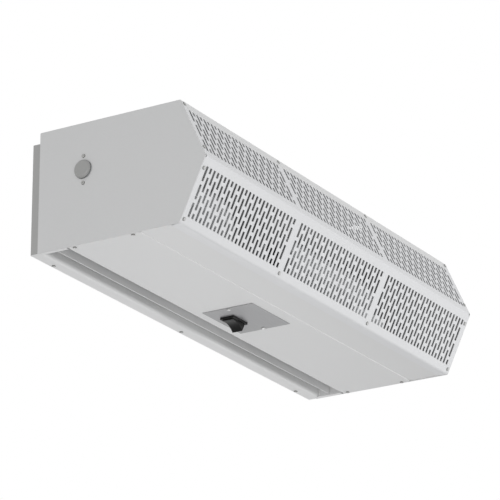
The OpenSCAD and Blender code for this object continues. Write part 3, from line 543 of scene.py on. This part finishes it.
bpy.ops.transform.resize(value=((WRAP - RETURN_GAP) / WRAP, 1, 1), center_override=(0, 0, 0))
for place, bend in ((nose, NOSE_BEND), (foot, FOOT_BEND)):
    pick_fold(grille, place)
    bevel(bend, segments=5)
end_edit()
face_out(grille, "y")
thicken(grille, GRILLE_SHEET)
for way in (-1, 1):
    drill(grille, row(way * WRAP, -NOSE, HEIGHT / 2), CORNER_NOTCH, "Y")
round_edges(grille, 0.16, segments=1)
grille_coat = sprayed("grille_coat", (0.77, 0.773, 0.78), drift=0.02, roughness=0.38)
dress(grille, grille_coat, "cabinet", "intake_grille")

# The underside: the access panel with its rear edge turned up as the nozzle's front lip, and the
# front pan ahead of the seam, whose rear edge the panel laps with a small notch at each corner. The
# lapping edge is dressed round, and its rounding is coated whiter as a painted highlight of the
# front lamp.
LIP_HALF, LIP_Y, LIP_H, LIP_BEND = 448.2, -57.5, 20, 3
PLATE_X, PLATE_Y, OPENING_X, OPENING_Y = -3, -127.5, 51.5, 37.8
SEAM_ROUND, SEAM_LIT = 0.9, 452


def paint_faces(obj, index, test):
    """Gives the faces that pass the test the piece's material of that index."""
    begin_edit(obj)
    pick(obj, "faces", test)
    obj.active_material_index = index
    bpy.ops.object.material_slot_assign()
    end_edit()


panel = folded_strip("bottom_panel_sheet", LIP_HALF, [(-SEAM, 0), (LIP_Y, 0), (LIP_Y, LIP_H)],
                     [LIP_BEND])
widen(panel, LIP_HALF, WRAP, lambda m: m.z < row(0, 0, 0.01).z)
low = row(PLATE_X - OPENING_X, PLATE_Y - OPENING_Y, 0)
high = row(PLATE_X + OPENING_X, PLATE_Y + OPENING_Y, 0)
begin_edit(panel)
for normal in ((1, 0, 0), (0, 1, 0)):
    for place in (low, high):
        bpy.ops.mesh.select_all(action="SELECT")
        bpy.ops.mesh.bisect(plane_co=place, plane_no=normal)
pick(panel, "faces", lambda m, n: low.x < m.x < high.x and low.y < m.y < high.y)
bpy.ops.mesh.delete(type="FACE")
end_edit()
face_out(panel, "z")
thicken(panel, SHEET)
seam = row(0, -SEAM, 0)
begin_edit(panel, "EDGE")
pick(panel, "edges", lambda m, d: (m - seam).yz.length < 1e-5 and abs(d.x) > 10 * MM)
bevel(SEAM_ROUND, segments=3)
end_edit()
for way in (-1, 1):
    drill(panel, row(way * WRAP, -SEAM, 0), CORNER_NOTCH)
round_edges(panel, 0.3)
dress(panel, cabinet_coat, "cabinet", "bottom_panel")
# The lapping edge's rounding gets a whiter coat: a painted highlight.
panel.data.materials.append(sprayed("seam_painted_highlight", (0.85, 0.85, 0.845), roughness=0.35))
edge_y = row(0, 0.4 - SEAM, 0).y
paint_faces(panel, 1, lambda m, n: abs(m.y - edge_y) < 1 * MM and n.y < -0.15
            and abs(m.x) < SEAM_LIT * MM)
dress(rounded_copy("front_pan", 0.3), cabinet_coat, "cabinet", "front_pan")

# The nozzle: a curved rear lip whose strip runs on under the mounting plate, flat end plates with
# feet, the galvanised front wall behind the panel's lip, and the vane on its pins and washers.
REAR_LIP_Y, REAR_LIP_H, REAR_BEND, STRIP_HALF = -10, 45, 6, 455.2
lip = folded_strip("rear_lip_sheet", LIP_HALF,
                   [(-BACK_Y, 0), (REAR_LIP_Y, 0), (REAR_LIP_Y, REAR_LIP_H)], [REAR_BEND])
strip_front = row(0, REAR_LIP_Y + REAR_BEND - 0.01, 0).y
widen(lip, LIP_HALF, STRIP_HALF, lambda m: m.y > strip_front)
face_out(lip, "z")
thicken(lip, SHEET)
round_edges(lip, 0.3)
# The nozzle's pieces share a white lighter than the cabinet's: painted light, standing in for the
# light that reaches the vane and walls inside the nozzle.
nozzle_coat_painted_light = sprayed("nozzle_coat_painted_light", (0.81, 0.81, 0.805), drift=0.03, roughness=0.45)
dress(lip, nozzle_coat_painted_light, "cabinet", "rear_lip")
for node in ("left_nozzle_end", "right_nozzle_end"):
    dress(rounded_copy(node, 0.25), nozzle_coat_painted_light, "cabinet", node)
dress(rounded_copy("air_vane", 0.25), nozzle_coat_painted_light, "vane", "air_vane")

# The end caps: grey mouldings that cover the ends of the fan shaft, with a well rounded face, a
# rim painted darker where they meet the panel as painted shade, and a thin skirt that snaps into it
# below the shoulder.
FAN_Y, FAN_Z = -89, 132.5
CAP_R, CAP_FACE, CAP_DEPTH, PAINTED_SHADE_R = 16.5, 6.3, 5.0, 13
SHOULDER, SKIRT_WALL, SKIRT_DEPTH, HOLLOW = 1.5, 1.2, 2.5, 6
cap_plastic = sprayed("cap_plastic", (0.41, 0.41, 0.40), drift=0.05, roughness=0.42,
                      peel=(1500, 0.1))
cap_rim_painted_shade = sprayed("cap_rim_painted_shade", (0.19, 0.19, 0.187), drift=0.1, roughness=0.6)


def end_cap(name, way):
    """A drum, its shoulder drawn back into a thin hollow skirt, and its face rounded."""
    middle = way * (HALF + CAP_FACE - CAP_DEPTH / 2)
    bpy.ops.mesh.primitive_cylinder_add(vertices=64, radius=CAP_R * MM, depth=CAP_DEPTH * MM,
                                        location=row(middle, FAN_Y, FAN_Z),
                                        rotation=(0, math.pi / 2, 0))
    cap = bpy.context.active_object
    cap.name = name
    set_in_place(cap)
    outer, shoulder = way * (HALF + CAP_FACE) * MM, way * (HALF + CAP_FACE - CAP_DEPTH) * MM
    begin_edit(cap)
    pick(cap, "faces", lambda m, n: abs(m.x - shoulder) < 1e-5)
    bpy.ops.mesh.inset(thickness=SHOULDER * MM)
    extrude(-way * SKIRT_DEPTH, 0, 0)
    bpy.ops.mesh.inset(thickness=SKIRT_WALL * MM)
    extrude(way * HOLLOW, 0, 0)
    end_edit()
    begin_edit(cap, "EDGE")
    pick(cap, "edges", lambda m, d: abs(m.x - outer) < 1e-5)
    bevel(CAP_DEPTH, segments=8)
    end_edit()
    round_edges(cap, 0.35, angle=45)
    return cap


fan_axis = row(0, FAN_Y, FAN_Z)
for name, way in (("left_end_cap", -1), ("right_end_cap", 1)):
    cap = end_cap(name + "_moulding", way)
    dress(cap, cap_plastic, "cabinet", name)
    cap.data.materials.append(cap_rim_painted_shade)
    # The steep faces beyond the shade radius take the dark grey: painted shade where the cap meets
    # the panel.
    paint_faces(cap, 1, lambda m, n: abs(n.x) < 0.45 and (m - fan_axis).yz.length > PAINTED_SHADE_R * MM)

# The screws: pan heads with a cross recess. Those of the sheets are painted on top and grey on the
# flank, those of the grille on the shoulder too; that grey is painted shade round each head. Those
# of the end caps are dull steel with the same painted shade on the flank, and those of the control
# plate and the back bright zinc.
HEAD_R, HEAD_H, SHANK_R, SHANK_L = 3.3, 1.8, 1.9, 8
RECESS_L, RECESS_W, RECESS_H, TAPER = 3.4, 0.7, 1.8, 0.45
bpy.ops.mesh.primitive_cylinder_add(vertices=24, radius=HEAD_R * MM, depth=HEAD_H * MM,
                                    location=(0, 0, HEAD_H / 2 * MM))
screw = bpy.context.active_object
screw.name = "screw_pattern"
set_in_place(screw)
begin_edit(screw, "EDGE")
pick(screw, "edges", lambda m, d: m.z > (HEAD_H - 0.1) * MM)
bevel(0.8, segments=3)
bpy.ops.mesh.select_mode(type="FACE")
pick(screw, "faces", lambda m, n: n.z < -0.9)
bpy.ops.mesh.inset(thickness=(HEAD_R - SHANK_R) * MM)
extrude(0, 0, -SHANK_L)
end_edit()
for turn in (0, math.pi / 2):
    bpy.ops.mesh.primitive_cube_add(size=1, location=(0, 0, HEAD_H * MM), rotation=(0, 0, turn))
    wing = bpy.context.active_object
    wing.scale = (RECESS_L * MM, RECESS_W * MM, RECESS_H * MM)
    set_in_place(wing)
    begin_edit(wing)
    pick(wing, "faces", lambda m, n: n.z < -0.9)
    bpy.ops.transform.resize(value=(TAPER, TAPER, 1))
    end_edit()
    cut_with(screw, wing)
smooth(screw, 35)
screw_coat = sprayed("screw_coat", (0.66, 0.66, 0.65), drift=0.06, roughness=0.35)
screw_zinc = sprayed("screw_zinc", (0.56, 0.56, 0.56), drift=0.08, roughness=0.32, metallic=1.0)
screw_dull = sprayed("screw_dull", (0.42, 0.42, 0.41), drift=0.1, roughness=0.45, metallic=0.6)
screw_flank_painted_shade = sprayed("screw_flank_painted_shade", (0.16, 0.16, 0.15), drift=0.2, roughness=0.5)
screw_edge_painted_shade = sprayed("screw_edge_painted_shade", (0.3, 0.3, 0.29), drift=0.15, roughness=0.5)
painted = (screw_coat, screw_flank_painted_shade, screw_coat)
for finish in painted:
    screw.data.materials.append(finish)
# The flank and the shoulder take their own materials; their darker greys are painted shade round
# the head.
paint_faces(screw, 1, lambda m, n: abs(n.z) < 0.8 and m.xy.length > 2 * MM)
paint_faces(screw, 2, lambda m, n: 0.8 < n.z < 0.99 and m.xy.length > 2 * MM)


def screws(name, places, finishes):
    """places holds where each head seats and the way that it faces, and finishes the materials of
    its top, its flank and its shoulder."""
    made = []
    for number, (seat, out) in enumerate(places):
        one = bpy.data.objects.new(name, screw.data.copy())
        for index, finish in enumerate(finishes):
            one.data.materials[index] = finish
        bpy.context.scene.collection.objects.link(one)
        spin = Matrix.Rotation(math.radians(37 * number + 20), 4, "Z")
        way_out = Vector(out).to_track_quat("Z", "Y").to_matrix().to_4x4()
        one.matrix_world = Matrix.Translation(seat) @ way_out @ spin
        made.append(one)
    bpy.ops.object.select_all(action="DESELECT")
    for one in made:
        one.select_set(True)
    bpy.context.view_layer.objects.active = made[0]
    bpy.ops.object.join()
    joined = bpy.context.active_object
    joined.name = name + "_set"
    set_in_place(joined)
    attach(joined, "cabinet")
    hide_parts(name)


def on_slope(x, v, upper):
    """A seat and its direction at v up from the lower edge of a slope."""
    out, rise = v * math.sin(LEAN), v * math.cos(LEAN)
    if upper:
        return row(x, -NOSE + out, HEIGHT / 2 + rise), (0, -math.cos(LEAN), math.sin(LEAN))
    return row(x, -FRONT - out, rise), (0, -math.cos(LEAN), -math.sin(LEAN))


GRILLE_SCREW_X, SHEET_SCREW_X, RIB_X = 449.7, 450.9, SECTION / 2
LOW_V, HIGH_V = 9, SLOPE - 6
UNDER_Y, REAR_X, REAR_Y, TOP_SHARES = (-71, -186), (-396, 0, 396), 9.4, (0.22, 0.78)
CAP_RISE, PLATE_REACH = 24.1, 57.9
slope_screws = [on_slope(way * GRILLE_SCREW_X, v, upper) for way in (-1, 1)
                for v, upper in ((LOW_V, False), (SLOPE - 20, False), (20, True), (HIGH_V, True))]
slope_screws += [on_slope(way * RIB_X, v, upper) for way in (-1, 1)
                 for v, upper in ((LOW_V, False), (HIGH_V, True))]
screws("grille_screws", slope_screws, (screw_coat, screw_edge_painted_shade, screw_edge_painted_shade))
screws("underside_screws", [(row(way * SHEET_SCREW_X, y, 0), (0, 0, -1)) for way in (-1, 1)
                            for y in UNDER_Y], painted)
screws("rear_lip_screws", [(row(x, REAR_Y, 0), (0, 0, -1)) for x in REAR_X], painted)
screws("top_screws", [(row(way * SHEET_SCREW_X, -share * FRONT, HEIGHT), (0, 0, 1))
                      for way in (-1, 1) for share in TOP_SHARES], painted)
screws("end_cap_screws", [(row(way * HALF, FAN_Y, FAN_Z + rise), (way, 0, 0)) for way in (-1, 1)
                          for rise in (-CAP_RISE, CAP_RISE)],
       (screw_dull, screw_flank_painted_shade, screw_dull))
screws("control_plate_screws", [(row(PLATE_X + way * PLATE_REACH, PLATE_Y, -1), (0, 0, -1))
                                for way in (-1, 1)],
       (screw_zinc, screw_dull, screw_zinc))
bpy.data.objects.remove(screw, do_unlink=True)

# The control plate: grey aluminium with a fine lengthwise brushing, over the opening in the access
# panel. It is bare but for the switch, which is a black moulding with a dished rocker.


def pattern_over(material, pattern, shades, roughness):
    """Lets a pattern's output drive a coat's colour, as shares of it, and its roughness."""
    tree = material.node_tree
    skin = tree.nodes["Group"]
    shade = tree.nodes.new("ShaderNodeMapRange")
    shade.inputs["To Min"].default_value, shade.inputs["To Max"].default_value = shades
    tint = maths(tree.nodes, "SCALE", "ShaderNodeVectorMath")
    tint.inputs[0].default_value = skin.inputs["Color"].default_value[:3]
    rough = tree.nodes.new("ShaderNodeMapRange")
    rough.inputs["To Min"].default_value, rough.inputs["To Max"].default_value = roughness
    tree.links.new(pattern, shade.inputs["Value"])
    tree.links.new(pattern, rough.inputs["Value"])
    tree.links.new(shade.outputs["Result"], tint.inputs["Scale"])
    tree.links.new(tint.outputs["Vector"], skin.inputs["Color"])
    tree.links.new(rough.outputs["Result"], skin.inputs["Roughness"])


plate_finish = sprayed("plate_finish", (0.335, 0.335, 0.34), drift=0.04, roughness=0.4,
                       peel=(2200, 0.06))
tree = plate_finish.node_tree
place = tree.nodes.new("ShaderNodeTexCoord")
along = tree.nodes.new("ShaderNodeMapping")
along.inputs["Scale"].default_value = (14, 1500, 1500)
brushing = tree.nodes.new("ShaderNodeTexNoise")
brushing.inputs["Scale"].default_value = 1.0
brushing.inputs["Detail"].default_value = 3
tree.links.new(place.outputs["Object"], along.inputs["Vector"])
tree.links.new(along.outputs["Vector"], brushing.inputs["Vector"])
pattern_over(plate_finish, brushing.outputs["Fac"], shades=(0.84, 1.16), roughness=(0.52, 0.30))
dress(rounded_copy("control_plate", 0.25), plate_finish, "cabinet",
      "control_plate")
switch_plastic = sprayed("switch_plastic", (0.010, 0.010, 0.010), drift=0.15, roughness=0.5,
                         peel=(2600, 0.25), specular=0.2)
rocker_plastic = sprayed("rocker_plastic", (0.013, 0.013, 0.0125), drift=0.15, roughness=0.5,
                         peel=(2600, 0.15), specular=0.2)
dress(rounded_copy("switch_housing", 0.6, 3), switch_plastic, "cabinet",
      "switch_housing")
dress(rounded_copy("switch_rocker", 0.7, 3), rocker_plastic, "rocker",
      "switch_rocker")

# The inner pieces keep their solids: the spangled zinc back panel, housings and deck, the pressed
# aluminium wheels, the enamelled motor on its rubber rings, and the electrical parts.
zinc_sheet = sprayed("zinc_sheet", (0.83, 0.84, 0.85), drift=0.12, roughness=0.38, spread=0.15,
                     metallic=0.1)
tree = zinc_sheet.node_tree
place = tree.nodes.new("ShaderNodeTexCoord")
spangle = tree.nodes.new("ShaderNodeTexVoronoi")
spangle.inputs["Scale"].default_value = 120
tree.links.new(place.outputs["Object"], spangle.inputs["Vector"])
pattern_over(zinc_sheet, spangle.outputs["Color"], shades=(0.88, 1.10), roughness=(0.30, 0.46))
bare_aluminium = sprayed("bare_aluminium", (0.78, 0.79, 0.80), drift=0.08, roughness=0.36,
                         spread=0.15, metallic=0.6)
ground_steel = sprayed("ground_steel", (0.5, 0.5, 0.51), drift=0.08, roughness=0.25, metallic=1.0)
core_steel = sprayed("core_steel", (0.2, 0.19, 0.18), drift=0.12, roughness=0.5, metallic=1.0)
tinned_brass = sprayed("tinned_brass", (0.68, 0.5, 0.22), drift=0.08, roughness=0.3, metallic=1.0)
motor_enamel = sprayed("motor_enamel", (0.22, 0.225, 0.23), drift=0.1, roughness=0.4)
ring_rubber = sprayed("ring_rubber", (0.02, 0.02, 0.02), drift=0.2, roughness=0.75)
nylon = sprayed("nylon", (0.78, 0.77, 0.72), roughness=0.45)
ivory = sprayed("ivory_moulding", (0.62, 0.58, 0.46), roughness=0.3)
by_slot = {"galvanised": zinc_sheet,
           "shaft_steel": ground_steel, "washer_nylon": nylon, "wheel_aluminium": bare_aluminium,
           "motor_paint": motor_enamel, "cast_aluminium": bare_aluminium,
           "core_steel": core_steel, "mount_rubber": ring_rubber, "bearing_steel": ground_steel,
           "screw_steel": screw_zinc, "terminal_brass": tinned_brass,
           "can_aluminium": bare_aluminium, "block_plastic": ivory}
slots = {part["node"]: part["material_slot"] for part in frame["record"]["subparts"]}
for name, obj in frame["nodes"].items():
    if not obj.hide_render and slots[name] in by_slot:
        obj.data.materials.clear()
        obj.data.materials.append(by_slot[slots[name]])
